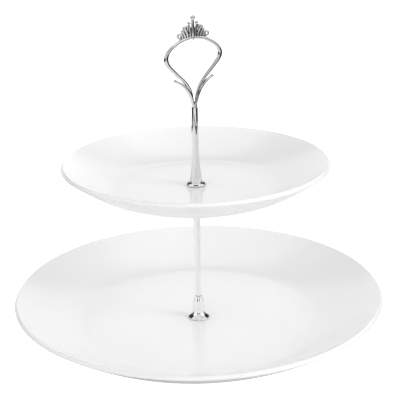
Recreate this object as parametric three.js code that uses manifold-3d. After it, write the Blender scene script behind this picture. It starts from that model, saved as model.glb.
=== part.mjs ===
// A two-tier cake stand: two coupe plates clamped on a slim turned rod, and a loop handle with a
// crown on top. The handle unscrews from a stud, so that the stand comes apart for storage.
// Millimetres, +Z up. The origin is on the table, at the centre of the lower plate's foot, and
// the loop of the handle lies in the XZ plane.

import * as THREE from "three";
import { mergeVertices } from "three/addons/utils/BufferGeometryUtils.js";
import Module from "manifold-3d";

const wasm = await Module();
wasm.setup();

// ---------- driving dimensions ----------

const contactGap = 0.1; // between flat faces that press on each other
const fitGap = 0.15; // all round a screw or a spigot in its hole
const seatGap = 0.2; // under a metal rim that stops just short of the glaze
const socketGap = 0.3; // beyond the end of a screw or a spigot
const rimWall = 0.9; // of metal round a washer that sits inside a flange
const washerPlay = 0.3; // between a soft washer and the wall round it
const turnedSides = 24; // facets round a turned piece

const lowerPlate = { radius: 133.5, height: 32.6, wellRadius: 84, footRadius: 80, footDepth: 5.5 };
const upperPlate = { radius: 94.7, height: 26.8, wellRadius: 56, footRadius: 49, footDepth: 4 };
const plateThickness = 4;
const rimThickness = 3;
const rimRounding = 0.9; // how far in from the edge the rim's top lies
const footWidth = 4;
const footTaper = 0.6; // a foot is this much narrower at its outer bottom edge
const footFillet = 2; // where a foot meets the plate
const plateHoleRadius = 3.6;
const wallReach = 0.33; // the wall's curve: how far out its control point lies, as a share of the wall
const wallRise = 1.2; // and how far above the well
const upperFootZ = 104; // the upper plate's foot, above the table

const threadRadius = 2.5; // M5
const threadChamfer = 0.5;
const softWasherThickness = 0.9;
const softWasherHoleRadius = 3;
const looseWasherRadius = 7.5; // of the soft washer under the lower plate
const rodWasherRadius = 6.6; // of the one on the rod's flange
const steelWasher = { radius: 6.5, holeRadius: 2.8, thickness: 0.8 };
const screwHead = { radius: 4.6, height: 2.5, dome: 0.8, domeTop: 3.3, recess: 1.4, recessWidth: 1.1,
  recessSpan: 5 };
const screwLength = 15; // below the head

const ferrule = { rimRadius: 7.8, rimHeight: 0.8, coneRadius: 5.4, coneMiddle: 2.6, coneHeight: 4.4,
  bodyRadius: 3.9, bodyTop: 23.2, shoulderRadius: 3.1, shoulderZ: 25, neckRadius: 2.7, top: 26.9 };
const spigotRadius = 1.75; // the rod's lower end, screwed into the ferrule
const spigotLength = 5.3;
const rod = { footRadius: 2.2, waistRadius: 1.85, waistZ: 39, shankRadius: 2.15, shankZ: 60, midRadius: 2.6,
  midZ: 82, neckRadius: 3.3, neckZ: 99, collarRadius: 4.6, collarHeight: 1.6, flangeRadius: 7,
  flangeHeight: 1.6 };
const studDepth = 12; // of the stud in the rod

// The stem's rolled flange, as [how far in from its radius, height]; above it the foot flares in to the
// shank, as [radius, height above the flange].
const stem = { rimRadius: 7, rimHeight: 3.2, shankRadius: 2.35, shankZ: 148.1, top: 168.3,
  roll: [[0.3, 0], [0, 0.9], [0.3, 2], [1.2, 2.7]], flare: [[4.2, 0], [3.55, 6], [2.6, 17]] };
const tangRadius = 1.72; // the handle's round end, pressed into the stem
const tangLength = 10;
const tangShoulder = { inset: 0.4, height: 2.5 }; // where the tang runs into the loop, above the stem
const threadEngaged = 8.6; // of the stud in the stem

// The loop handle: points on its curves, as [x, z], for the side with positive x. The spur ends in a ball.
const loopBottomZ = stem.top + 0.3;
const armPath = [[1.1, loopBottomZ], [1.7, 174.5], [3.3, 180.6], [7, 186.3], [11.9, 191], [17, 195.9],
  [20.7, 200], [21.75, 203.7], [20.7, 207], [18.1, 209.9], [14.2, 212.5], [8.7, 215], [0, 216.5]];
const spurPath = [[0.9, loopBottomZ], [1.4, 171.5], [3.1, 176.8], [5.6, 181], [8.6, 184.2], [11.8, 186.5],
  [15, 188.2]];
const spurBallRadius = 1.2;
const armHalfWidth = { bottom: 0.95, shoulder: 1.7, crown: 0.8 };
const shoulderShare = 0.6; // how far along the arm its shoulder lies
const spurHalfWidth = { bottom: 1.25, tip: 0.85 };

// The crown: a spire between ribs that fan out, each with a bead, and a ring at each end.
const spire = { radius: 1.2, foot: 215.6, top: 228.4, footBead: 1.25, topBall: 1.7, topBallZ: 229.6 };
const crownRibs = [
  { path: [[1.95, 215.9], [2.25, 220], [3.05, 226.1]], halfWidth: 0.85, bead: 1.25 },
  { path: [[2.9, 216.2], [3.6, 220.6], [4.7, 224.1]], halfWidth: 0.7, bead: 0.95 },
  { path: [[3.95, 215.7], [4.6, 219.4], [6.8, 223.2]], halfWidth: 1.1, bead: 1.4 },
  { path: [[5.8, 215.2], [6.4, 218], [8.2, 221.2]], halfWidth: 1, bead: 1.15 },
  { path: [[7.5, 214.6], [8.1, 216.9], [9.3, 219.4]], halfWidth: 0.9, bead: 1 },
];
const crownRing = { x: 11, z: 218.1, radius: 1.35, wire: 0.7, tail: [9.75, 213.9] };

// ---------- heights worked out from them, from the table up ----------

const lowerWellZ = lowerPlate.footDepth + plateThickness;
const lowerSoftWasherTop = lowerPlate.footDepth - contactGap;
const steelWasherTop = lowerSoftWasherTop - softWasherThickness - contactGap;
const screwHeadTop = steelWasherTop - steelWasher.thickness - contactGap;
const ferruleRimZ = lowerWellZ + seatGap;
const ferruleSeatZ = lowerWellZ + softWasherThickness + 2 * contactGap;
const upperUndersideZ = upperFootZ + upperPlate.footDepth;
const upperWellZ = upperUndersideZ + plateThickness;
const rodTopZ = upperUndersideZ - softWasherThickness - 2 * contactGap;
const stemRimZ = upperWellZ + seatGap;
const stemSeatZ = upperWellZ + softWasherThickness + 2 * contactGap;
const studTopZ = stemSeatZ + threadEngaged;

// ---------- materials ----------

const porcelain = new THREE.MeshStandardMaterial({ color: 0xf7f7f5, roughness: 0.15, metalness: 0 });
const chrome = new THREE.MeshStandardMaterial({ color: 0xd8d9db, roughness: 0.08, metalness: 1 });
const plainSteel = new THREE.MeshStandardMaterial({ color: 0xb9bbbd, roughness: 0.35, metalness: 1 });
const softPlastic = new THREE.MeshStandardMaterial({ color: 0xe9ecec, roughness: 0.5, metalness: 0 });

// ---------- shape helpers ----------

// A solid of revolution about Z. The profile's points are [radius, z].
function turned(profile, sides = turnedSides) {
  const points = profile.map(([radius, z]) => new THREE.Vector2(radius, z));
  return new THREE.LatheGeometry(points, sides).rotateX(Math.PI / 2);
}

// A flat ring about Z, from its lower face up.
function ring(innerRadius, outerRadius, bottom, thickness) {
  const top = bottom + thickness;
  return turned([[innerRadius, bottom], [outerRadius, bottom], [outerRadius, top], [innerRadius, top],
    [innerRadius, bottom]]);
}

// Points of a smooth curve through the given [a, b] pairs.
function smooth(pairs, count) {
  const curve = new THREE.SplineCurve(pairs.map(([a, b]) => new THREE.Vector2(a, b)));
  return curve.getPoints(count).map((p) => [p.x, p.y]);
}

function toManifold(geometry) {
  const bare = geometry.toNonIndexed();
  bare.deleteAttribute("normal");
  bare.deleteAttribute("uv");
  const merged = mergeVertices(bare, 1e-4);
  return new wasm.Manifold(new wasm.Mesh({
    numProp: 3,
    vertProperties: merged.attributes.position.array,
    triVerts: new Uint32Array(merged.index.array),
  }));
}

function toGeometry(manifold) {
  const mesh = manifold.getMesh();
  const geometry = new THREE.BufferGeometry();
  geometry.setAttribute("position", new THREE.BufferAttribute(mesh.vertProperties, 3));
  geometry.setIndex(new THREE.BufferAttribute(mesh.triVerts, 1));
  geometry.computeVertexNormals();
  return geometry;
}

function join(geometries) {
  const solids = geometries.map(toManifold);
  return toGeometry(solids.reduce((all, solid) => all.add(solid)));
}

// A closed bar along a path of [x, z] points in the XZ plane. halfWidth gives its half-width at
// each share of its length, and depthRatio is its depth over its width.
function bar(path, halfWidth, { steps = 6, sides = 8, depthRatio = 1 } = {}) {
  const points = path.map(([x, z]) => new THREE.Vector3(x, 0, z));
  const curve = new THREE.CatmullRomCurve3(points, false, "centripetal");
  const positions = [];
  const triangles = [];
  for (let i = 0; i <= steps; i++) {
    const share = i / steps;
    const centre = curve.getPointAt(share);
    const tangent = curve.getTangentAt(share);
    for (let k = 0; k < sides; k++) {
      const angle = (2 * Math.PI * k) / sides;
      const across = halfWidth(share) * Math.cos(angle);
      const deep = halfWidth(share) * depthRatio * Math.sin(angle);
      positions.push(centre.x - tangent.z * across, deep, centre.z + tangent.x * across);
    }
  }
  const ringStart = (i) => i * sides;
  for (let i = 0; i < steps; i++) {
    for (let k = 0; k < sides; k++) {
      const next = (k + 1) % sides;
      const [a, b] = [ringStart(i) + k, ringStart(i) + next];
      const [c, d] = [ringStart(i + 1) + k, ringStart(i + 1) + next];
      triangles.push(a, c, b, b, c, d);
    }
  }
  for (let k = 1; k < sides - 1; k++) {
    triangles.push(0, k, k + 1);
    triangles.push(ringStart(steps), ringStart(steps) + k + 1, ringStart(steps) + k);
  }
  const geometry = new THREE.BufferGeometry();
  geometry.setAttribute("position", new THREE.Float32BufferAttribute(positions, 3));
  geometry.setIndex(triangles);
  return geometry;
}

const mix = (from, to, share) => from + (to - from) * share;

const ball = (x, z, radius) => new THREE.SphereGeometry(radius, 8, 6).translate(x, 0, z);

const mirrored = (path, side) => path.map(([x, z]) => [side * x, z]);

// ---------- the plates ----------

// A coupe plate: a flat well, a wall that curves up to a rounded rim, and a foot ring below.
function plate({ radius, height, wellRadius, footRadius, footDepth }, footZ, sides) {
  const wellZ = footZ + footDepth + plateThickness;
  const rimZ = footZ + height;
  const rimRound = rimThickness / 2;
  const wall = new THREE.QuadraticBezierCurve(
    new THREE.Vector2(wellRadius, wellZ),
    new THREE.Vector2(mix(wellRadius, radius, wallReach), wellZ + wallRise),
    new THREE.Vector2(radius - rimThickness, rimZ - rimRound),
  );
  const inside = [];
  const outside = [];
  const steps = 5;
  for (let i = 0; i <= steps; i++) {
    const point = wall.getPoint(i / steps);
    const tangent = wall.getTangent(i / steps);
    const thickness = mix(plateThickness, rimThickness, i / steps);
    inside.push([point.x, point.y]);
    outside.unshift([point.x + tangent.y * thickness, point.y - tangent.x * thickness]);
  }
  const rim = [[radius - rimRounding, rimZ], [radius, rimZ - rimRounding]];
  const undersideZ = footZ + footDepth;
  const footInside = footRadius - footWidth;
  const foot = [
    [footRadius + footFillet, undersideZ], [footRadius, undersideZ - footFillet],
    [footRadius - footTaper, footZ], [footInside, footZ], [footInside - footFillet, undersideZ],
  ];
  const hole = [[plateHoleRadius, undersideZ], [plateHoleRadius, wellZ]];
  return turned([...hole, ...inside, ...rim, ...outside.slice(0, -1), ...foot, hole[0]].reverse(), sides);
}

// ---------- the turned metal pieces ----------

function baseFerrule() {
  const spigotFloor = ferrule.top - spigotLength - socketGap;
  const screwRoof = screwHeadTop + screwLength + socketGap;
  const boreRadius = threadRadius + fitGap;
  return turned([
    [0, screwRoof], [boreRadius, screwRoof], [boreRadius, ferruleSeatZ],
    [ferrule.rimRadius - rimWall, ferruleSeatZ], [ferrule.rimRadius - rimWall, ferruleRimZ],
    [ferrule.rimRadius, ferruleRimZ], [ferrule.rimRadius, ferruleRimZ + ferrule.rimHeight],
    [ferrule.coneRadius, ferruleRimZ + ferrule.coneMiddle],
    [ferrule.bodyRadius, ferruleRimZ + ferrule.coneHeight], [ferrule.bodyRadius, ferrule.bodyTop],
    [ferrule.shoulderRadius, ferrule.shoulderZ], [ferrule.neckRadius, ferrule.top],
    [spigotRadius + fitGap, ferrule.top], [spigotRadius + fitGap, spigotFloor], [0, spigotFloor],
  ]);
}

function lowerRod() {
  const footZ = ferrule.top + seatGap;
  const shank = smooth([[rod.footRadius, footZ], [rod.waistRadius, rod.waistZ],
    [rod.shankRadius, rod.shankZ], [rod.midRadius, rod.midZ], [rod.neckRadius, rod.neckZ]], 12);
  const flangeZ = rodTopZ - rod.flangeHeight;
  const boreFloor = rodTopZ - studDepth;
  const boreRadius = threadRadius + fitGap;
  return turned([
    [0, footZ - spigotLength], [spigotRadius, footZ - spigotLength], [spigotRadius, footZ],
    ...shank, [rod.collarRadius, flangeZ - rod.collarHeight], [rod.flangeRadius, flangeZ],
    [rod.flangeRadius, rodTopZ], [boreRadius, rodTopZ], [boreRadius, boreFloor], [0, boreFloor],
  ]);
}

function upperStud() {
  const bottom = rodTopZ - studDepth + socketGap;
  const tipRadius = threadRadius - threadChamfer;
  return turned([[0, bottom], [tipRadius, bottom], [threadRadius, bottom + threadChamfer],
    [threadRadius, studTopZ - threadChamfer], [tipRadius, studTopZ], [0, studTopZ]]);
}

function handleStem() {
  const boreRadius = threadRadius + fitGap;
  const boreRoof = studTopZ + socketGap;
  const rimTop = stemRimZ + stem.rimHeight;
  const roll = stem.roll.map(([inset, rise]) => [stem.rimRadius - inset, stemRimZ + rise]);
  const flare = smooth(stem.flare.map(([radius, rise]) => [radius, rimTop + rise]), 5);
  const socketFloor = stem.top - tangLength - socketGap;
  return turned([
    [0, boreRoof], [boreRadius, boreRoof], [boreRadius, stemSeatZ], [stem.rimRadius - rimWall, stemSeatZ],
    [stem.rimRadius - rimWall, stemRimZ], ...roll, ...flare, [stem.shankRadius, stem.shankZ],
    [stem.shankRadius, stem.top], [tangRadius + fitGap, stem.top], [tangRadius + fitGap, socketFloor],
    [0, socketFloor],
  ]);
}

// The pan-head screw, pointing up, with a cross recess in its head.
function baseScrew() {
  const headBottom = screwHeadTop - screwHead.height;
  const tip = screwHeadTop + screwLength;
  const body = turned([
    [0, headBottom], [screwHead.domeTop, headBottom], [screwHead.radius, headBottom + screwHead.dome],
    [screwHead.radius, screwHeadTop], [threadRadius, screwHeadTop], [threadRadius, tip - threadChamfer],
    [threadRadius - threadChamfer, tip], [0, tip],
  ]);
  const slot = new THREE.BoxGeometry(screwHead.recessSpan, screwHead.recessWidth, 2 * screwHead.recess);
  slot.translate(0, 0, headBottom);
  const crossSlot = slot.clone().rotateZ(Math.PI / 2);
  return toGeometry(toManifold(body).subtract(toManifold(slot)).subtract(toManifold(crossSlot)));
}

// ---------- the cast handle ----------

// One half of the loop: the arm, thick at the shoulder, and the spur with its ball.
function loopHalf(side) {
  const armWidth = (share) => (share < shoulderShare
    ? mix(armHalfWidth.bottom, armHalfWidth.shoulder, Math.sqrt(share / shoulderShare))
    : mix(armHalfWidth.shoulder, armHalfWidth.crown, (share - shoulderShare) / (1 - shoulderShare)));
  const spurEnd = spurPath.at(-1);
  const spurWidth = (share) => mix(spurHalfWidth.bottom, spurHalfWidth.tip, share);
  return [
    bar(mirrored(armPath, side), armWidth, { steps: 22 }),
    bar(mirrored(spurPath, side), spurWidth, { steps: 9 }),
    ball(side * spurEnd[0], spurEnd[1], spurBallRadius),
  ];
}

function crownHalf(side) {
  const ribs = crownRibs.flatMap(({ path, halfWidth, bead }) => {
    const [tipX, tipZ] = path.at(-1);
    return [
      bar(mirrored(path, side), () => halfWidth, { steps: 3, sides: 6 }),
      ball(side * tipX, tipZ, bead),
    ];
  });
  const ringCurl = new THREE.TorusGeometry(crownRing.radius, crownRing.wire, 8, 14);
  ringCurl.rotateX(Math.PI / 2).translate(side * crownRing.x, 0, crownRing.z);
  const tailTop = [crownRing.x - crownRing.wire, crownRing.z - crownRing.radius];
  const tail = bar(mirrored([tailTop, crownRing.tail], side), () => crownRing.wire, { steps: 2, sides: 6 });
  return [...ribs, ringCurl, tail];
}

function crownHandle() {
  const tangTop = stem.top + tangShoulder.height;
  const tang = turned([[0, stem.top - tangLength], [tangRadius, stem.top - tangLength],
    [tangRadius, stem.top], [tangRadius - tangShoulder.inset, tangTop], [0, tangTop]]);
  const spireBar = turned([[0, spire.foot], [spire.radius, spire.foot], [spire.radius, spire.top],
    [0, spire.top]], 10);
  return join([
    tang,
    ...loopHalf(1), ...loopHalf(-1),
    ...crownHalf(1), ...crownHalf(-1),
    spireBar, ball(0, spire.foot, spire.footBead), ball(0, spire.topBallZ, spire.topBall),
  ]);
}

// ---------- the assembly ----------

const stand = new THREE.Group();

function add(name, geometry, material) {
  const mesh = new THREE.Mesh(geometry, material);
  mesh.name = name;
  stand.add(mesh);
}

function softWasher(outerRadius, bottom) {
  return ring(softWasherHoleRadius, outerRadius, bottom, softWasherThickness);
}

// How wide a soft washer is that sits inside a flange's rim.
const heldWasherRadius = (rimRadius) => rimRadius - rimWall - washerPlay;

add("lower_plate", plate(lowerPlate, 0, 60), porcelain);
add("lower_top_washer", softWasher(heldWasherRadius(ferrule.rimRadius), lowerWellZ + contactGap), softPlastic);
add("lower_bottom_washer", softWasher(looseWasherRadius, lowerSoftWasherTop - softWasherThickness), softPlastic);
add("steel_washer", ring(steelWasher.holeRadius, steelWasher.radius, steelWasherTop - steelWasher.thickness,
  steelWasher.thickness), plainSteel);
add("base_screw", baseScrew(), plainSteel);
add("base_ferrule", baseFerrule(), chrome);
add("lower_rod", lowerRod(), chrome);
add("upper_stud", upperStud(), plainSteel);
add("upper_bottom_washer", softWasher(rodWasherRadius, rodTopZ + contactGap), softPlastic);
add("upper_plate", plate(upperPlate, upperFootZ, 48), porcelain);
add("upper_top_washer", softWasher(heldWasherRadius(stem.rimRadius), upperWellZ + contactGap), softPlastic);
add("handle_stem", handleStem(), chrome);
add("crown_handle", crownHandle(), chrome);

export default stand;
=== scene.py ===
"""A two-tier cake stand: white porcelain plates on a chromed rod, under a loop handle with a crown.

Lengths are metres, in the frame of the CAD model: +Z up, the table at z = 0, and the handle's loop
in the XZ plane. Profiles and paths are written in millimetres and scaled by MM.
"""

import math

import bmesh
import bpy
from mathutils import Matrix, Vector


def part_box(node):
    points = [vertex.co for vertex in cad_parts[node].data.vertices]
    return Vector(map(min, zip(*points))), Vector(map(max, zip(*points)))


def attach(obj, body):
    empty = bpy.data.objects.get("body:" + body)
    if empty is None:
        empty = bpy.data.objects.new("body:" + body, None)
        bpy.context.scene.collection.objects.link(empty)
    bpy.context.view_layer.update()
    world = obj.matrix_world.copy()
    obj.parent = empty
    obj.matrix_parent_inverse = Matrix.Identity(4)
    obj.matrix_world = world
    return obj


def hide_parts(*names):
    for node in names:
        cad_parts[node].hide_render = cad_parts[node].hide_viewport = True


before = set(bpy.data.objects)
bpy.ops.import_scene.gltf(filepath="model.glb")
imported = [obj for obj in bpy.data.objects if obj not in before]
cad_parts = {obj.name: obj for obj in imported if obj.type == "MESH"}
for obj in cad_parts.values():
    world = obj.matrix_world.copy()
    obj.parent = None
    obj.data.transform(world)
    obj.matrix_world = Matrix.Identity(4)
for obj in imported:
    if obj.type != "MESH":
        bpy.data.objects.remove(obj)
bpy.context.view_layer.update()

MM = 0.001
TINY = 1e-6  # millimetres: a profile's point nearer the axis than this lies on it
OUTER_SHARE = 0.31  # of a lathe's largest radius: relief cuts only what lies outside it
SHARP_ANGLE = math.radians(32)  # between two faces, past which their edge isn't shaded smooth
CAST_VOXEL = 0.13
POLISH_STEPS = 4


# ---------- mesh helpers ----------

def box_mm(node):
    """A CAD node's lowest and highest corner, in millimetres."""
    low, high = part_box(node)
    return low / MM, high / MM


def mix(start, end, share):
    return start + (end - start) * share


def arc_corner(before, corner, after, radius, steps):
    """Points that round a corner of a profile off with an arc."""
    to_before = (before - corner).normalized()
    to_after = (after - corner).normalized()
    half_angle = to_before.angle(to_after) / 2
    reach = radius / math.tan(half_angle)
    reach = min(reach, 0.49 * (before - corner).length, 0.49 * (after - corner).length)
    radius = reach * math.tan(half_angle)
    start = corner + to_before * reach
    end = corner + to_after * reach
    centre = corner + (to_before + to_after).normalized() * (radius / math.sin(half_angle))
    from_centre = start - centre
    turn = from_centre.angle_signed(end - centre)
    points = []
    for i in range(steps + 1):
        angle = turn * i / steps
        points.append(centre + Matrix.Rotation(-angle, 2) @ from_centre)
    return points


def outline(*corners, steps=5):
    """A profile of [radius, z, fillet] corners as points; a corner with no fillet stays sharp."""
    places = [Vector(c[:2]) for c in corners]
    points = []
    for i, corner in enumerate(corners):
        fillet = corner[2] if len(corner) > 2 else 0
        inner = 0 < i < len(corners) - 1
        if fillet and inner:
            points += arc_corner(places[i - 1], places[i], places[i + 1], fillet, steps)
        else:
            points.append(places[i])
    return points


def spline(points, steps):
    """Points of a smooth Catmull-Rom curve through the given vectors."""
    points = [Vector(p) for p in points]
    padded = [2 * points[0] - points[1], *points, 2 * points[-1] - points[-2]]
    made = []
    for i in range(1, len(padded) - 2):
        a, b, c, d = padded[i - 1:i + 3]
        for k in range(steps):
            t = k / steps
            made.append(0.5 * ((2 * b) + (c - a) * t + (2 * a - 5 * b + 4 * c - d) * t ** 2
                               + (3 * b - a - 3 * c + d) * t ** 3))
    made.append(points[-1])
    return made


def finish_mesh(name, mesh, body, nodes, material):
    """Turns a bmesh in millimetres into a smooth-shaded piece that rides on a body."""
    bmesh.ops.recalc_face_normals(mesh, faces=mesh.faces)
    bmesh.ops.scale(mesh, vec=(MM, MM, MM), verts=mesh.verts)
    data = bpy.data.meshes.new(name)
    mesh.to_mesh(data)
    mesh.free()
    data.shade_smooth()
    data.set_sharp_from_angle(angle=SHARP_ANGLE)
    piece = bpy.data.objects.new(name, data)
    bpy.context.scene.collection.objects.link(piece)
    data.materials.append(material)
    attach(piece, body)
    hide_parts(*nodes)


def no_relief(angle, z):
    return 0


def add_lathe(mesh, profile, sides, relief=no_relief):
    """Adds a solid of revolution about Z. The profile starts and ends on the axis, or at one same point.

    relief tells how deep the outer surface is cut at an angle and a height.
    """
    outer = max(point.x for point in profile) * OUTER_SHARE
    closed = profile[0].x > TINY
    loop = profile[:-1] if closed else profile
    rings = []
    for point in loop:
        if point.x < TINY:
            rings.append([mesh.verts.new((0, 0, point.y))])
            continue
        ring = []
        for k in range(sides):
            angle = 2 * math.pi * k / sides
            radius = point.x - (relief(angle, point.y) if point.x > outer else 0)
            ring.append(mesh.verts.new((radius * math.cos(angle), radius * math.sin(angle), point.y)))
        rings.append(ring)
    following = rings[1:] + rings[:1] if closed else rings[1:]
    for low, high in zip(rings, following):
        for k in range(sides):
            n = (k + 1) % sides
            corners = [low[k % len(low)], low[n % len(low)], high[n % len(high)], high[k % len(high)]]
            unique = list(dict.fromkeys(corners))
            if len(unique) > 2:
                mesh.faces.new(unique)


def lathe(name, profile, sides, body, node, material, relief=no_relief):
    mesh = bmesh.new()
    add_lathe(mesh, profile, sides, relief)
    finish_mesh(name, mesh, body, [node], material)


def bridge(mesh, low, high):
    """Joins two rings of as many points with a band of faces."""
    for k in range(len(low)):
        n = (k + 1) % len(low)
        mesh.faces.new((low[k], low[n], high[n], high[k]))


def add_bar(mesh, path, radius_at, sides):
    """Adds a closed round bar along points in the XZ plane. radius_at takes a share of its length."""
    lengths = [0.0]
    for a, b in zip(path, path[1:]):
        lengths.append(lengths[-1] + (b - a).length)
    rings = []
    for i, centre in enumerate(path):
        share = lengths[i] / lengths[-1]
        ahead = path[min(i + 1, len(path) - 1)] - path[max(i - 1, 0)]
        tangent = ahead.normalized()
        across = Vector((-tangent.z, 0, tangent.x))
        ring = []
        for k in range(sides):
            angle = 2 * math.pi * k / sides
            place = centre + across * (radius_at(share) * math.cos(angle))
            place.y += radius_at(share) * math.sin(angle)
            ring.append(mesh.verts.new(place))
        rings.append(ring)
    for low, high in zip(rings, rings[1:]):
        bridge(mesh, low, high)
    mesh.faces.new(rings[0])
    mesh.faces.new(list(reversed(rings[-1])))


def add_ball(mesh, x, z, radius, segments=20):
    """Adds a ball in the XZ plane, with its poles along Y."""
    place = Matrix.Translation((x, 0, z)) @ Matrix.Rotation(math.pi / 2, 4, "X")
    bmesh.ops.create_uvsphere(mesh, u_segments=segments, v_segments=segments // 2, radius=radius,
                              matrix=place)


def to_data(name, mesh):
    """A bmesh in millimetres as mesh data, still in millimetres."""
    bmesh.ops.recalc_face_normals(mesh, faces=mesh.faces)
    data = bpy.data.meshes.new(name)
    mesh.to_mesh(data)
    mesh.free()
    return data


def with_modifiers(data, add_modifiers):
    """Mesh data after the modifiers that add_modifiers puts on a passing object."""
    maker = bpy.data.objects.new(data.name, data)
    bpy.context.scene.collection.objects.link(maker)
    extras = add_modifiers(maker)
    made = bpy.data.meshes.new_from_object(maker.evaluated_get(bpy.context.evaluated_depsgraph_get()))
    for extra in (maker, *extras):
        bpy.data.objects.remove(extra)
    return made


def fuse(maker):
    """Joins what overlaps into one skin, and smooths the grid's steps away."""
    remesh = maker.modifiers.new("fuse", "REMESH")
    remesh.mode = "VOXEL"
    remesh.voxel_size = CAST_VOXEL
    smooth = maker.modifiers.new("polish", "SMOOTH")
    smooth.factor = 0.5
    smooth.iterations = POLISH_STEPS
    return []


def cut_out(maker, cutter_data):
    """Cuts the shape of other mesh data out, and returns the passing object that does it."""
    cutter = bpy.data.objects.new("cutter", cutter_data)
    bpy.context.scene.collection.objects.link(cutter)
    cut = maker.modifiers.new("cut", "BOOLEAN")
    cut.operation = "DIFFERENCE"
    cut.solver = "EXACT"
    cut.use_self = True
    cut.object = cutter
    return [cutter]


# ---------- materials ----------

def new_material(name):
    material = bpy.data.materials.new(name)
    material.use_nodes = True
    shader = material.node_tree.nodes["Principled BSDF"]
    return material, material.node_tree, shader


def add_noise(tree, scale, detail, stretch=(1, 1, 1)):
    """A noise texture in object space. Returns its value socket."""
    coordinates = tree.nodes.new("ShaderNodeTexCoord")
    mapping = tree.nodes.new("ShaderNodeMapping")
    mapping.inputs["Scale"].default_value = stretch
    texture = tree.nodes.new("ShaderNodeTexNoise")
    texture.inputs["Scale"].default_value = scale
    texture.inputs["Detail"].default_value = detail
    tree.links.new(coordinates.outputs["Object"], mapping.inputs["Vector"])
    tree.links.new(mapping.outputs["Vector"], texture.inputs["Vector"])
    return texture.outputs["Fac"]


def add_ramp(tree, source, low, high, start=0.0, end=1.0):
    """Maps a value to a colour or grey between low and high."""
    ramp = tree.nodes.new("ShaderNodeValToRGB")
    ramp.color_ramp.elements[0].position = start
    ramp.color_ramp.elements[1].position = end
    ramp.color_ramp.elements[0].color = (*low, 1)
    ramp.color_ramp.elements[1].color = (*high, 1)
    tree.links.new(source, ramp.inputs["Fac"])
    return ramp.outputs["Color"]


def add_bump(tree, shader, source, distance, strength):
    """Bumps the surface by a value, over a distance in metres."""
    bump = tree.nodes.new("ShaderNodeBump")
    bump.inputs["Distance"].default_value = distance
    bump.inputs["Strength"].default_value = strength
    tree.links.new(source, bump.inputs["Height"])
    tree.links.new(bump.outputs["Normal"], shader.inputs["Normal"])


def add_math(tree, operation, first, second=None):
    node = tree.nodes.new("ShaderNodeMath")
    node.operation = operation
    for socket, value in zip(node.inputs, (first, second)):
        if isinstance(value, bpy.types.NodeSocket):
            tree.links.new(value, socket)
        elif value is not None:
            socket.default_value = value
    return node.outputs["Value"]


def mix_shaders(tree, share, first, second):
    choice = tree.nodes.new("ShaderNodeMixShader")
    tree.links.new(share, choice.inputs["Fac"])
    tree.links.new(first, choice.inputs[1])
    tree.links.new(second, choice.inputs[2])
    return choice.outputs["Shader"]


def grey(value):
    return (value, value, value)


BARE_CLAY = (0.80, 0.78, 0.74, 1)
CLAY_ROUGHNESS = 0.75
GLAZE_ROUGHNESS = 0.18
GLAZE_EDGE = 0.0002  # metres over which the glaze begins
TONE_SPREAD = 0.03  # of a plating, to each side of its tone
# Painted shade: the dark colour that the plating's crevices are painted with
CREVICE_SHADE = (0.03, 0.03, 0.035, 1)
CREVICE_SHADE_LIMITS = (0.42, 0.78)  # of openness: all painted shade below the first, none above the second
CREVICE_REACH = 0.0011
CREVICE_RAYS = 8


def make_porcelain(name, glaze_start):
    """White glazed porcelain. Below glaze_start, in metres, the foot ring is bare and matt."""
    material, tree, shader = new_material(name)
    shader.inputs["IOR"].default_value = 1.5
    shader.inputs["Coat Weight"].default_value = 0.3
    shader.inputs["Coat Roughness"].default_value = 0.03
    cloud = add_noise(tree, scale=22, detail=3)
    tone = add_ramp(tree, cloud, (0.885, 0.888, 0.885), (0.905, 0.907, 0.902), start=0.3, end=0.7)
    coordinates = tree.nodes.new("ShaderNodeTexCoord")
    split = tree.nodes.new("ShaderNodeSeparateXYZ")
    tree.links.new(coordinates.outputs["Object"], split.inputs["Vector"])
    glazed = tree.nodes.new("ShaderNodeMapRange")
    glazed.inputs["From Min"].default_value = glaze_start
    glazed.inputs["From Max"].default_value = glaze_start + GLAZE_EDGE
    tree.links.new(split.outputs["Z"], glazed.inputs["Value"])
    colour = tree.nodes.new("ShaderNodeMix")
    colour.data_type = "RGBA"
    colour.inputs["A"].default_value = BARE_CLAY
    tree.links.new(glazed.outputs["Result"], colour.inputs["Factor"])
    tree.links.new(tone, colour.inputs["B"])
    tree.links.new(colour.outputs["Result"], shader.inputs["Base Color"])
    matt = tree.nodes.new("ShaderNodeMapRange")
    matt.inputs["To Min"].default_value = CLAY_ROUGHNESS
    matt.inputs["To Max"].default_value = GLAZE_ROUGHNESS
    tree.links.new(glazed.outputs["Result"], matt.inputs["Value"])
    tree.links.new(matt.outputs["Result"], shader.inputs["Roughness"])
    add_bump(tree, shader, add_noise(tree, scale=60, detail=2), distance=0.00006, strength=0.5)
    return material


def make_chrome(name, tone, haze, crevice_reach=0.0):
    """Bright plating with the faint unevenness of polished metal, and a roughness of about haze.

    Where crevice_reach is given, crevices narrower than it, in metres, get painted shade: a darker colour.
    """
    material, tree, shader = new_material(name)
    shader.inputs["Metallic"].default_value = 1
    cloud = add_noise(tree, scale=160, detail=3)
    colour = add_ramp(tree, cloud, grey(tone - TONE_SPREAD), grey(tone + TONE_SPREAD), start=0.3, end=0.7)
    if crevice_reach:
        # painted shade in crevices
        colour = darken_crevices(tree, colour, crevice_reach)
    tree.links.new(colour, shader.inputs["Base Color"])
    smear = add_noise(tree, scale=420, detail=4)
    roughness = add_ramp(tree, smear, grey(haze * 0.5), grey(haze * 1.5), start=0.35, end=0.75)
    tree.links.new(roughness, shader.inputs["Roughness"])
    add_bump(tree, shader, add_noise(tree, scale=330, detail=2), distance=0.00003, strength=0.35)
    return material


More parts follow.
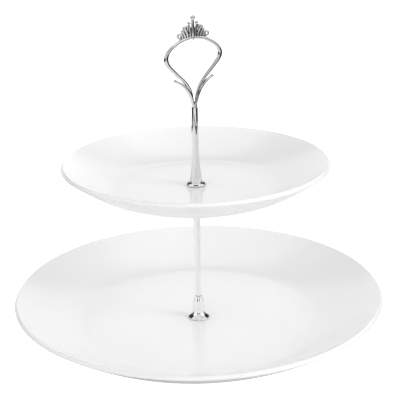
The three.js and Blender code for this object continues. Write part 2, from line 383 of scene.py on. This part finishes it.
def darken_crevices(tree, tone, reach):
    """The colour, with painted shade: dark where the surface is closely walled in."""
    open_share = tree.nodes.new("ShaderNodeAmbientOcclusion")
    open_share.only_local = True
    open_share.samples = CREVICE_RAYS
    open_share.inputs["Distance"].default_value = reach
    amount = tree.nodes.new("ShaderNodeMapRange")
    amount.inputs["From Min"].default_value = CREVICE_SHADE_LIMITS[0]
    amount.inputs["From Max"].default_value = CREVICE_SHADE_LIMITS[1]
    tree.links.new(open_share.outputs["AO"], amount.inputs["Value"])
    blend = tree.nodes.new("ShaderNodeMix")
    blend.data_type = "RGBA"
    blend.inputs["A"].default_value = CREVICE_SHADE
    tree.links.new(amount.outputs["Result"], blend.inputs["Factor"])
    tree.links.new(tone, blend.inputs["B"])
    return blend.outputs["Result"]


def make_plain_steel():
    """Zinc-plated steel with fine turning marks."""
    material, tree, shader = new_material("plain_steel")
    shader.inputs["Metallic"].default_value = 1
    cloud = add_noise(tree, scale=240, detail=3)
    tone = add_ramp(tree, cloud, (0.60, 0.61, 0.62), (0.72, 0.73, 0.735), start=0.3, end=0.7)
    tree.links.new(tone, shader.inputs["Base Color"])
    smear = add_noise(tree, scale=600, detail=4)
    haze = add_ramp(tree, smear, grey(0.22), grey(0.38), start=0.3, end=0.75)
    tree.links.new(haze, shader.inputs["Roughness"])
    turning_marks = add_noise(tree, scale=260, detail=3, stretch=(1, 1, 12))
    add_bump(tree, shader, turning_marks, distance=0.00004, strength=0.5)
    return material


def make_soft_plastic():
    """Milky soft plastic for the washers."""
    material, tree, shader = new_material("soft_plastic")
    shader.inputs["Subsurface Weight"].default_value = 0.2
    shader.inputs["Subsurface Scale"].default_value = 0.001
    cloud = add_noise(tree, scale=300, detail=3)
    tone = add_ramp(tree, cloud, (0.80, 0.82, 0.82), (0.87, 0.885, 0.885), start=0.3, end=0.7)
    tree.links.new(tone, shader.inputs["Base Color"])
    smear = add_noise(tree, scale=500, detail=3)
    haze = add_ramp(tree, smear, grey(0.42), grey(0.58), start=0.3, end=0.7)
    tree.links.new(haze, shader.inputs["Roughness"])
    add_bump(tree, shader, add_noise(tree, scale=900, detail=3), distance=0.00003, strength=0.6)
    return material


CHROME = make_chrome("chrome_plating", tone=0.94, haze=0.065)
# The stem and the cast handle get painted shade in their crevices.
STEM_CHROME = make_chrome("stem_chrome_plating", tone=0.80, haze=0.065, crevice_reach=CREVICE_REACH)
CAST_CHROME = make_chrome("cast_chrome_plating", tone=0.80, haze=0.14, crevice_reach=CREVICE_REACH)
PLAIN_STEEL = make_plain_steel()
SOFT_PLASTIC = make_soft_plastic()


# ---------- plates ----------

PLATE_THICKNESS = 4.0
RIM_THICKNESS = 3.0
PLATE_HOLE_RADIUS = 3.6
WALL_REACH = 0.33  # of the way from well to rim: where the curve of the wall has its control point
WALL_RISE = 1.2  # of that point above the well
WALL_STEPS = 40
RIM_STEPS = 14
PLATE_SIDES = 256
BARE_FOOT = 0.0006  # metres of the foot ring that the glaze leaves bare


def plate_profile(node, well_radius, foot_radius, foot_depth):
    """A coupe plate's section: flat well, a wall that sweeps up to a rolled rim, and a foot ring."""
    low, high = box_mm(node)
    radius = high.x
    foot_z = low.z
    rim_z = high.z
    under_z = foot_z + foot_depth
    well_z = under_z + PLATE_THICKNESS
    start = Vector((well_radius, well_z))
    control = Vector((mix(well_radius, radius, WALL_REACH), well_z + WALL_RISE))
    rim_corner = Vector((radius, rim_z))
    lean = (rim_corner - control).normalized()
    end = rim_corner - Vector((1 + lean.y, 1 - lean.x)) * (RIM_THICKNESS / 2)
    inside = []
    outside = []
    for i in range(WALL_STEPS + 1):
        t = i / WALL_STEPS
        point = (1 - t) ** 2 * start + 2 * t * (1 - t) * control + t ** 2 * end
        tangent = (2 * (1 - t) * (control - start) + 2 * t * (end - control)).normalized()
        thickness = mix(PLATE_THICKNESS, RIM_THICKNESS, t)
        inside.append(point)
        outside.insert(0, point + Vector((tangent.y, -tangent.x)) * thickness)
    centre = (inside[-1] + outside[0]) / 2
    lip_start = inside[-1] - centre
    rim = []
    for i in range(1, RIM_STEPS):
        turned = Matrix.Rotation(math.pi * i / RIM_STEPS, 2) @ lip_start
        rim.append(centre + turned)
    foot = outline(
        outside[-1],
        (foot_radius + 3, under_z - 0.2, 1.5), (foot_radius, under_z - 2.2, 1.2),
        (foot_radius - 0.6, foot_z, 0.5), (foot_radius - 4, foot_z, 0.5),
        (foot_radius - 5, under_z, 1.6), (foot_radius - 12, under_z),
    )
    hole = outline(
        foot[-1],
        (PLATE_HOLE_RADIUS, under_z, 0.5), (PLATE_HOLE_RADIUS, well_z, 0.5),
        inside[0],
    )
    return [*inside, *rim, *outside[:-1], *foot[:-1], *hole[:-1], inside[0]]


def build_plate(node, body, well_radius, foot_radius, foot_depth):
    low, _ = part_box(node)
    name = node + "_porcelain"
    material = make_porcelain(name + "_glaze", low.z + BARE_FOOT)
    profile = plate_profile(node, well_radius, foot_radius, foot_depth)
    lathe(name, profile, PLATE_SIDES, body, node, material)


build_plate("lower_plate", "lower_tier", well_radius=84, foot_radius=80, foot_depth=5.5)
build_plate("upper_plate", "upper_tier", well_radius=56, foot_radius=49, foot_depth=4.0)


# ---------- turned pieces ----------

THREAD_RADIUS = 2.5  # M5
THREAD_DEPTH = 0.42
THREAD_PITCH = 0.8
THREAD_CLEARANCE = 0.15
STEM_TOP = box_mm("handle_stem")[1].z
RIM_WALL = 0.9  # of metal round a washer that sits inside a flange
WASHER_RECESS = 0.9
SOFT_WASHER_HOLE = 3
SIDES = 96
STEM_SIDES = 144
SCALLOP_COUNT = 4
SCALLOP_LENGTH = 20
SCALLOP_DEPTH = 0.32
SCALLOP_START = math.radians(-8)
SCALLOP_HALF_WIDTH = math.radians(42)
SCALLOP_WIDEST_AT = 0.8  # of its length, from its pointed lower end
SCALLOP_DEEPEST_AT = 0.35  # of its length


def build_soft_washer(node, body):
    """A soft washer with rounded edges."""
    low, high = box_mm(node)
    middle = (low.z + high.z) / 2
    profile = outline(
        (SOFT_WASHER_HOLE, middle), (SOFT_WASHER_HOLE, low.z, 0.2), (high.x, low.z, 0.35),
        (high.x, high.z, 0.35), (SOFT_WASHER_HOLE, high.z, 0.2), (SOFT_WASHER_HOLE, middle),
    )
    lathe(node + "_soft", profile, SIDES, body, node, SOFT_PLASTIC)


def build_steel_washer():
    """The flat washer under the lower plate, stamped: one outer edge is rounder than the other."""
    low, high = box_mm("steel_washer")
    middle = (low.z + high.z) / 2
    hole_radius = 2.8
    profile = outline(
        (hole_radius, middle), (hole_radius, low.z, 0.1), (high.x, low.z, 0.12), (high.x, high.z, 0.3),
        (hole_radius, high.z, 0.1), (hole_radius, middle),
    )
    lathe("steel_washer_stamped", profile, SIDES, "screw_washer", "steel_washer",
                 PLAIN_STEEL)


def build_ferrule():
    """The collar under the rod: a conical rim on the plate, and a cylinder with a shouldered top."""
    low, high = box_mm("base_ferrule")
    rim_radius, body_radius, neck_radius = high.x, 3.9, 2.7
    rim_top = low.z + 0.8
    cone_top = low.z + 4.4
    shoulder = high.z - 3.7
    bore = THREAD_RADIUS + THREAD_CLEARANCE
    screw_roof = 18.8
    spigot_radius = 1.9
    spigot_floor = high.z - 5.6
    profile = outline(
        (0, screw_roof), (bore, screw_roof, 0.3), (bore, low.z + WASHER_RECESS + 0.1, 0.3),
        (rim_radius - RIM_WALL, low.z + WASHER_RECESS, 0.1), (rim_radius - RIM_WALL, low.z, 0.15),
        (rim_radius, low.z, 0.3), (rim_radius, rim_top, 0.35),
        (mix(rim_radius, body_radius, 0.62), mix(low.z, cone_top, 0.6), 4.0), (body_radius, cone_top, 0.9),
        (body_radius, shoulder, 0.7), (mix(body_radius, neck_radius, 0.7), mix(shoulder, high.z, 0.5), 1.5),
        (neck_radius, high.z, 0.25), (spigot_radius, high.z, 0.15), (spigot_radius, spigot_floor, 0.2),
        (0, spigot_floor),
    )
    lathe("base_ferrule_turned", profile, SIDES, "rod", "base_ferrule", CHROME)


def build_lower_rod():
    """The rod between the plates: slimmest above its foot, then widening up to the flange."""
    low, high = box_mm("lower_rod")
    foot_z = low.z + 5.3
    spigot_radius = 1.75
    neck_z = 99
    shank = spline([(2.2, foot_z), (1.85, 39), (2.15, 60), (2.6, 82), (3.3, neck_z)], 16)
    flange_z = high.z - 1.6
    bore = THREAD_RADIUS + THREAD_CLEARANCE
    bore_floor = high.z - 12
    foot = outline((0, low.z), (spigot_radius, low.z, 0.3), (spigot_radius, foot_z), shank[0])
    top = outline(
        shank[-1], (4.6, flange_z - 1.6, 2.0), (high.x, flange_z, 0.4), (high.x, high.z, 0.3),
        (bore, high.z, 0.2), (bore, bore_floor, 0.3), (0, bore_floor),
    )
    profile = [*foot[:-1], *shank[:-1], *top]
    lathe("lower_rod_turned", profile, SIDES, "rod", "lower_rod", CHROME)


def build_handle_stem():
    """The handle's stem: a rolled flange on the plate, a flared foot, and scallops at its top."""
    low, high = box_mm("handle_stem")
    flange_top = low.z + 2.9
    bore = THREAD_RADIUS + THREAD_CLEARANCE
    stud_roof = low.z + 9.8
    flare = spline([(4.2, flange_top), (4.0, flange_top + 2.4), (3.35, flange_top + 8),
                    (2.6, flange_top + 17), (2.4, flange_top + 27)], 14)
    shank_end = Vector((2.35, high.z - 0.5))
    rows = 60  # enough for the scallops to follow their curve
    shank = [flare[-1].lerp(shank_end, i / rows) for i in range(1, rows + 1)]
    inside = outline(
        (0, stud_roof), (bore, stud_roof, 0.3), (bore, low.z + WASHER_RECESS + 0.1, 0.3),
        (high.x - RIM_WALL, low.z + WASHER_RECESS, 0.1), (high.x - RIM_WALL, low.z, 0.1),
        (high.x - 0.25, low.z, 0.2), (high.x, low.z + 0.75, 0.7), (high.x - 0.75, low.z + 1.75, 1.0),
        (high.x - 1.9, flange_top - 0.3, 0.9), (4.5, flange_top - 0.35, 0.12), flare[0], steps=8,
    )
    socket_radius = 1.87
    socket_floor = high.z - 10.3
    top = outline(
        shank_end, (2.35, high.z, 0.2), (socket_radius, high.z, 0.1), (socket_radius, socket_floor, 0.2),
        (0, socket_floor),
    )
    profile = [*inside[:-1], *flare, *shank[:-1], *top]
    lathe("handle_stem_turned", profile, STEM_SIDES, "handle", "handle_stem", STEM_CHROME,
          scallops)


def scallops(angle, z):
    """How deep the long pointed scallops at the stem's top are cut, at an angle and a height."""
    bottom = STEM_TOP - SCALLOP_LENGTH
    rise = (z - bottom) / (STEM_TOP - bottom)
    if rise <= 0:
        return 0
    half_width = SCALLOP_HALF_WIDTH * min(1, rise / SCALLOP_WIDEST_AT) ** 0.75
    turns = (angle - SCALLOP_START) * SCALLOP_COUNT / (2 * math.pi)
    off_centre = abs((turns + 0.5) % 1 - 0.5) * 2 * math.pi / SCALLOP_COUNT
    if off_centre >= half_width:
        return 0
    return SCALLOP_DEPTH * (1 - (off_centre / half_width) ** 4) * min(1, rise / SCALLOP_DEEPEST_AT)


def add_threaded_rod(mesh, bottom, top, sides=60):
    """Adds a closed rod with a rolled right-hand thread and chamfered ends."""
    rows_per_turn = 8
    rows = round((top - bottom) / (THREAD_PITCH / rows_per_turn))
    chamfer = 0.7
    rings = []
    for i in range(rows + 1):
        z = mix(bottom, top, i / rows)
        limit = THREAD_RADIUS - chamfer + min(z - bottom, top - z, chamfer)
        ring = []
        for k in range(sides):
            turn = k / sides
            phase = (z / THREAD_PITCH - turn) % 1
            groove = THREAD_DEPTH * (1 + math.cos(2 * math.pi * phase)) / 2
            radius = min(THREAD_RADIUS - groove, limit)
            angle = 2 * math.pi * turn
            ring.append(mesh.verts.new((radius * math.cos(angle), radius * math.sin(angle), z)))
        rings.append(ring)
    for low, high in zip(rings, rings[1:]):
        bridge(mesh, low, high)
    mesh.faces.new(list(reversed(rings[0])))
    mesh.faces.new(rings[-1])


def build_stud():
    low, high = box_mm("upper_stud")
    mesh = bmesh.new()
    add_threaded_rod(mesh, low.z, high.z)
    finish_mesh("upper_stud_threaded", mesh, "rod", ["upper_stud"], PLAIN_STEEL)


def build_base_screw():
    """The pan-head screw, pointing up: a domed head with a cross recess, and a rolled thread."""
    low, high = box_mm("base_screw")
    head_top = low.z + 2.5
    head_radius = high.x
    slot_width, slot_length, slot_depth = 1.1, 5.0, 1.4
    overshoot = 0.4  # of the cutter, past the head's face
    head = bmesh.new()
    head_profile = outline((0, low.z), (3.1, low.z, 1.2), (head_radius, low.z + 0.9, 0.9),
                           (head_radius, head_top, 0.25), (0, head_top), steps=8)
    add_lathe(head, head_profile, SIDES)
    cutter = bmesh.new()
    for across, along in ((slot_width, slot_length), (slot_length, slot_width)):
        add_tapered_slot(cutter, across, along, low.z - overshoot, low.z + slot_depth)
    head_data = to_data("screw_head", head)
    cutter_data = to_data("cross_recess", cutter)
    carved = with_modifiers(head_data, lambda maker: cut_out(maker, cutter_data))
    mesh = bmesh.new()
    mesh.from_mesh(carved)
    add_threaded_rod(mesh, head_top - 0.2, high.z)
    finish_mesh("base_screw_threaded", mesh, "screw", ["base_screw"], PLAIN_STEEL)


def add_tapered_slot(mesh, across, along, bottom, top):
    """Adds one slot of a cross recess, which narrows towards its end."""
    taper = 0.72
    rings = []
    for z, scale in ((bottom, 1), (top, taper)):
        x, y = across / 2 * scale, along / 2 * scale
        rings.append([mesh.verts.new((a, b, z)) for a, b in ((-x, -y), (x, -y), (x, y), (-x, y))])
    mesh.faces.new(list(reversed(rings[0])))
    mesh.faces.new(rings[1])
    bridge(mesh, rings[0], rings[1])


# ---------- the cast handle ----------

LOOP_BOTTOM = STEM_TOP + 0.3
ARM_PATH = [(1.1, LOOP_BOTTOM), (1.7, 174.5), (3.3, 180.6), (7, 186.3), (11.9, 191), (17, 195.9),
            (20.7, 200), (21.75, 203.7), (20.7, 207), (18.1, 209.9), (14.2, 212.5), (8.7, 215), (0, 216.5)]
# Along the arm and the spur: share of the length, and the bar's radius there.
ARM_RADII = [(0, 0.95), (0.2, 1.1), (0.45, 1.42), (0.6, 1.65), (0.72, 1.35), (0.84, 1.25), (1, 1.0)]
SPUR_PATH = [(0.9, LOOP_BOTTOM), (1.4, 171.5), (3.1, 176.8), (5.6, 181), (8.6, 184.2), (11.8, 186.5),
             (15, 188.2)]
SPUR_RADII = [(0, 1.15), (0.35, 1.4), (0.8, 1.15), (1, 0.85)]
SPUR_BALL = 1.25
# The crown's ribs, from the spire outwards: path, radius at foot and tip, and radius of the end's bead.
CROWN_RIBS = [
    {"path": [(1.95, 215.9), (2.25, 220), (3.05, 226.1)], "radii": (0.98, 0.72), "bead": 1.25},
    {"path": [(3.3, 219), (3.9, 221.6), (4.7, 224.1)], "radii": (0.75, 0.7), "bead": 0.95},
    {"path": [(3.95, 215.7), (4.6, 219.4), (6.8, 223.2)], "radii": (1.0, 1.2), "bead": 1.4},
    {"path": [(5.8, 215.2), (6.4, 218), (8.2, 221.2)], "radii": (0.95, 1.05), "bead": 1.15},
    {"path": [(7.5, 214.6), (8.1, 216.9), (9.3, 219.4)], "radii": (0.85, 0.9), "bead": 1.0},
]
CROWN_RING = {"x": 11, "z": 218.1, "radius": 1.35, "wire": 0.72, "tail": (9.75, 213.9)}
SPIRE_FOOT = 215.6
SPIRE_TOP = 228.4
SPIRE_RADII = [(0, 1.0), (0.3, 1.2), (1, 1.0)]
FOOT_BALL = 1.25
TOP_BALL = 1.7
TOP_BALL_Z = 229.6
WEB_HALF_DEPTH = 0.3
TANG_RADIUS = 1.72
TANG_LENGTH = 10


def in_plane(pairs, side):
    return [Vector((side * x, 0, z)) for x, z in pairs]


def steps_through(*stops):
    """A function of a share from 0 to 1 that moves smoothly through (share, value) stops."""
    def value(share):
        for (start, low), (end, high) in zip(stops, stops[1:]):
            if share <= end:
                t = (share - start) / (end - start)
                return mix(low, high, t * t * (3 - 2 * t))
        return stops[-1][1]
    return value


def add_loop_half(mesh, side):
    arm = steps_through(*ARM_RADII)
    add_bar(mesh, spline(in_plane(ARM_PATH, side), 12), arm, sides=24)
    spur = steps_through(*SPUR_RADII)
    add_bar(mesh, spline(in_plane(SPUR_PATH, side), 10), spur, sides=20)
    add_ball(mesh, side * SPUR_PATH[-1][0], SPUR_PATH[-1][1], SPUR_BALL)


def add_crown_half(mesh, side):
    for rib in CROWN_RIBS:
        path = spline(in_plane(rib["path"], side), 8)
        foot_radius, tip_radius = rib["radii"]
        add_bar(mesh, path, steps_through((0, foot_radius), (1, tip_radius)), sides=16)
        add_ball(mesh, path[-1].x, path[-1].z, rib["bead"])
    ring_centre = Vector((side * CROWN_RING["x"], 0, CROWN_RING["z"]))
    add_torus(mesh, ring_centre, CROWN_RING["radius"], CROWN_RING["wire"])
    tail_top = (CROWN_RING["x"] - CROWN_RING["radius"] * 0.8, CROWN_RING["z"] - CROWN_RING["radius"] * 0.6)
    tail_path = spline(in_plane([tail_top, (9.9, 216), CROWN_RING["tail"]], side), 6)
    tail = steps_through((0, CROWN_RING["wire"]), (1, CROWN_RING["wire"] * 1.5))
    add_bar(mesh, tail_path, tail, sides=14)


def add_torus(mesh, centre, radius, wire, turns=28, sides=12):
    """Adds a ring that lies in the XZ plane."""
    rings = []
    for i in range(turns):
        around = 2 * math.pi * i / turns
        out = Vector((math.cos(around), 0, math.sin(around)))
        ring = []
        for k in range(sides):
            angle = 2 * math.pi * k / sides
            place = centre + out * (radius + wire * math.cos(angle))
            place.y += wire * math.sin(angle)
            ring.append(mesh.verts.new(place))
        rings.append(ring)
    for low, high in zip(rings, rings[1:] + rings[:1]):
        bridge(mesh, low, high)


def add_web(mesh):
    """Adds the thin plate behind the crown's ribs, which closes the gaps between them."""
    upper = [(0, 223.6), (2.6, 223), (4.4, 222), (6.4, 221), (7.8, 219.2), (9.6, 216.8)]
    lower = [(9.4, 214.6), (6, 215.2), (3, 216), (0, 216.2)]
    right = [*upper, *lower]
    left = [(-x, z) for x, z in reversed(right) if x > 0]
    rings = []
    for y in (-WEB_HALF_DEPTH, WEB_HALF_DEPTH):
        rings.append([mesh.verts.new((x, y, z)) for x, z in [*right, *left]])
    mesh.faces.new(rings[0])
    mesh.faces.new(list(reversed(rings[1])))
    bridge(mesh, rings[1], rings[0])


def build_crown_handle():
    """One casting: bars, balls and rings fused on a fine grid, which also rounds every inner corner."""
    mesh = bmesh.new()
    for side in (1, -1):
        add_loop_half(mesh, side)
        add_crown_half(mesh, side)
    add_web(mesh)
    spire = steps_through(*SPIRE_RADII)
    rows = 10
    spire_path = [Vector((0, 0, mix(SPIRE_FOOT, SPIRE_TOP, i / rows))) for i in range(rows + 1)]
    add_bar(mesh, spire_path, spire, sides=20)
    add_ball(mesh, 0, SPIRE_FOOT, FOOT_BALL)
    add_ball(mesh, 0, TOP_BALL_Z, TOP_BALL, segments=28)
    tang_bottom = STEM_TOP - TANG_LENGTH
    tang = outline((0, tang_bottom), (TANG_RADIUS, tang_bottom, 0.3), (TANG_RADIUS, STEM_TOP + 0.6, 0.3),
                   (1.3, STEM_TOP + 2.5, 0.5), (0, STEM_TOP + 2.7))
    add_lathe(mesh, tang, sides=32)
    bmesh.ops.recalc_face_normals(mesh, faces=mesh.faces)
    fused = with_modifiers(to_data("handle_bars", mesh), fuse)
    cast = bmesh.new()
    cast.from_mesh(fused)
    finish_mesh("crown_handle_cast", cast, "handle", ["crown_handle"], CAST_CHROME)


build_soft_washer("lower_top_washer", "lower_tier")
build_soft_washer("lower_bottom_washer", "lower_tier")
build_soft_washer("upper_bottom_washer", "rod")
build_soft_washer("upper_top_washer", "handle_washer")
build_steel_washer()
build_ferrule()
build_lower_rod()
build_handle_stem()
build_stud()
build_base_screw()
build_crown_handle()


# ---------- camera, floor and light ----------

CAMERA_AZIMUTH = math.radians(33)  # of the camera to the left of the loop's face
CAMERA_REACH = 0.6784  # from the axis, across the table
CAMERA_HEIGHT = 0.334
CAMERA_PITCH = math.radians(18.99)
CAMERA_YAW = math.radians(0.21)
CAMERA_ROLL = math.radians(-1.15)
CAMERA_LENS = 90.94


FLOOR_RADIUS = 12
FLOOR_TONE = (0.82, 0.82, 0.82, 1)
FLOOR_GLOW = 0.9
FLOOR_BEYOND_TONE = (0.03, 0.03, 0.03, 1)  # past the paper, as mirrors see it
PAPER_HALF_WIDTH = 0.5  # of the white paper that the stand is on, as mirrors see it
PAPER_EDGE = 0.02  # over which it ends, to each side
KEY_SIZE = 0.9
KEY_POWER = 8.5  # watts
SKY_SIDE = 1.6
SKY_TOP = 0.57
ROOM_TONE = 0.04
# Pale panels of the studio: headings from straight behind the object and heights, in degrees, and tone.
PANELS = [
    {"heading": (-27, 27), "height": (-20, 40), "tone": 1.0},
    {"heading": (-142, -74), "height": (6, 60), "tone": 1.0},
    {"heading": (70, 150), "height": (6, 60), "tone": 1.0},
    {"heading": (-200, 200), "height": (58, 100), "tone": 0.9},
    {"heading": (165, 200), "height": (2, 47), "tone": 0.95},
    {"heading": (-200, -165), "height": (2, 47), "tone": 0.95},
]
PANEL_EDGE = math.radians(5)


def from_picture(right, away, up):
    """A vector in the model's frame from one given as right, away from the camera and up."""
    cos, sin = math.cos(CAMERA_AZIMUTH), math.sin(CAMERA_AZIMUTH)
    return Vector((right * cos + away * sin, -right * sin + away * cos, up))


def place_camera():
    data = bpy.data.cameras.new("camera")
    data.lens = CAMERA_LENS
    data.sensor_width = 36
    data.clip_start = 0.01
    data.clip_end = 50
    camera = bpy.data.objects.new("camera", data)
    bpy.context.scene.collection.objects.link(camera)
    sin_yaw, cos_yaw = math.sin(CAMERA_YAW), math.cos(CAMERA_YAW)
    ahead = from_picture(sin_yaw * math.cos(CAMERA_PITCH), cos_yaw * math.cos(CAMERA_PITCH),
                         -math.sin(CAMERA_PITCH))
    right = from_picture(cos_yaw, -sin_yaw, 0)
    up = right.cross(ahead)
    roll = Matrix.Rotation(-CAMERA_ROLL, 3, ahead)
    axes = Matrix((roll @ right, roll @ up, -ahead)).transposed()
    camera.matrix_world = Matrix.Translation(from_picture(0, -CAMERA_REACH, CAMERA_HEIGHT)) @ axes.to_4x4()
    bpy.context.scene.camera = camera


def build_floor():
    """A white floor that glows for the camera only. In mirrors it is dark past a strip of paper."""
    mesh = bmesh.new()
    bmesh.ops.create_circle(mesh, cap_ends=True, segments=96, radius=FLOOR_RADIUS)
    data = bpy.data.meshes.new("floor")
    mesh.to_mesh(data)
    mesh.free()
    floor = bpy.data.objects.new("floor", data)
    bpy.context.scene.collection.objects.link(floor)
    material, tree, shader = new_material("floor_paint")
    shader.inputs["Base Color"].default_value = FLOOR_TONE
    shader.inputs["Roughness"].default_value = 0.9
    glow = tree.nodes.new("ShaderNodeEmission")
    glow.inputs["Strength"].default_value = FLOOR_GLOW
    lit = tree.nodes.new("ShaderNodeAddShader")
    tree.links.new(shader.outputs["BSDF"], lit.inputs[0])
    tree.links.new(glow.outputs["Emission"], lit.inputs[1])
    dark = tree.nodes.new("ShaderNodeBsdfDiffuse")
    dark.inputs["Color"].default_value = FLOOR_BEYOND_TONE
    coordinates = tree.nodes.new("ShaderNodeTexCoord")
    split = tree.nodes.new("ShaderNodeSeparateXYZ")
    tree.links.new(coordinates.outputs["Object"], split.inputs["Vector"])
    beyond = tree.nodes.new("ShaderNodeMapRange")
    beyond.inputs["From Min"].default_value = PAPER_HALF_WIDTH - PAPER_EDGE
    beyond.inputs["From Max"].default_value = PAPER_HALF_WIDTH + PAPER_EDGE
    tree.links.new(add_math(tree, "ABSOLUTE", split.outputs["X"]), beyond.inputs["Value"])
    path = tree.nodes.new("ShaderNodeLightPath")
    in_mirror = add_math(tree, "MULTIPLY", beyond.outputs["Result"], path.outputs["Is Glossy Ray"])
    mirrored = mix_shaders(tree, in_mirror, shader.outputs["BSDF"], dark.outputs["BSDF"])
    shown = mix_shaders(tree, path.outputs["Is Camera Ray"], mirrored, lit.outputs["Shader"])
    tree.links.new(shown, tree.nodes["Material Output"].inputs["Surface"])
    data.materials.append(material)
    floor.rotation_euler.z = -CAMERA_AZIMUTH


def add_key_light(place):
    """A soft key, aimed at the stand. Mirrors don't see it, so it leaves no bright disk in rod or glaze."""
    data = bpy.data.lights.new("key", "AREA")
    data.shape = "DISK"
    data.size = KEY_SIZE
    data.energy = KEY_POWER
    light = bpy.data.objects.new("key", data)
    bpy.context.scene.collection.objects.link(light)
    light.location = place
    light.rotation_euler = (Vector((0, 0, 0.1)) - place).to_track_quat("-Z", "Y").to_euler()
    light.visible_glossy = False


def add_band(tree, angle, limits):
    """1 where an angle is inside the limits, in degrees, with soft edges."""
    low, high = (math.radians(limit) for limit in limits)
    edges = []
    for start, end in ((low - PANEL_EDGE, low + PANEL_EDGE), (high + PANEL_EDGE, high - PANEL_EDGE)):
        edge = tree.nodes.new("ShaderNodeMapRange")
        edge.interpolation_type = "SMOOTHSTEP"
        edge.inputs["From Min"].default_value = start
        edge.inputs["From Max"].default_value = end
        tree.links.new(angle, edge.inputs["Value"])
        edges.append(edge.outputs["Result"])
    return add_math(tree, "MULTIPLY", *edges)


def add_panels(tree):
    """The tone of the studio in each direction, as mirrors see it: pale panels in a dark room."""
    coordinates = tree.nodes.new("ShaderNodeTexCoord")
    turn = tree.nodes.new("ShaderNodeVectorRotate")
    turn.rotation_type = "Z_AXIS"
    turn.inputs["Angle"].default_value = CAMERA_AZIMUTH
    tree.links.new(coordinates.outputs["Generated"], turn.inputs["Vector"])
    split = tree.nodes.new("ShaderNodeSeparateXYZ")
    tree.links.new(turn.outputs["Vector"], split.inputs["Vector"])
    heading = add_math(tree, "ARCTAN2", split.outputs["X"], split.outputs["Y"])
    height = add_math(tree, "ARCSINE", split.outputs["Z"])
    tone = ROOM_TONE
    for panel in PANELS:
        share = add_math(tree, "MULTIPLY", add_band(tree, heading, panel["heading"]),
                         add_band(tree, height, panel["height"]))
        tone = add_math(tree, "MAXIMUM", add_math(tree, "MULTIPLY", share, panel["tone"]), tone)
    return tone


def add_soft_sky(tree):
    """Light for the matt surfaces: stronger from the sides than from above."""
    coordinates = tree.nodes.new("ShaderNodeTexCoord")
    split = tree.nodes.new("ShaderNodeSeparateXYZ")
    tree.links.new(coordinates.outputs["Generated"], split.inputs["Vector"])
    return add_ramp(tree, split.outputs["Z"], grey(1.0), grey(SKY_TOP / SKY_SIDE))


def add_background(tree, color, strength):
    background = tree.nodes.new("ShaderNodeBackground")
    background.inputs["Strength"].default_value = strength
    if isinstance(color, bpy.types.NodeSocket):
        tree.links.new(color, background.inputs["Color"])
    else:
        background.inputs["Color"].default_value = color
    return background.outputs["Background"]


def light_studio():
    """A soft sky for matt surfaces, panels for mirrors, white for the camera, and a key from the right."""
    world = bpy.data.worlds.new("studio")
    bpy.context.scene.world = world
    world.use_nodes = True
    tree = world.node_tree
    white = (1, 1, 1, 1)
    path = tree.nodes.new("ShaderNodeLightPath")
    soft = add_background(tree, add_soft_sky(tree), SKY_SIDE)
    panels = add_background(tree, add_panels(tree), 1.0)
    shown = mix_shaders(tree, path.outputs["Is Glossy Ray"], soft, panels)
    shown = mix_shaders(tree, path.outputs["Is Camera Ray"], shown, add_background(tree, white, 1.0))
    tree.links.new(shown, tree.nodes["World Output"].inputs["Surface"])
    add_key_light(from_picture(1.5, -0.6, 0.85))


place_camera()
build_floor()
light_studio()
bpy.context.scene.view_settings.view_transform = "Standard"
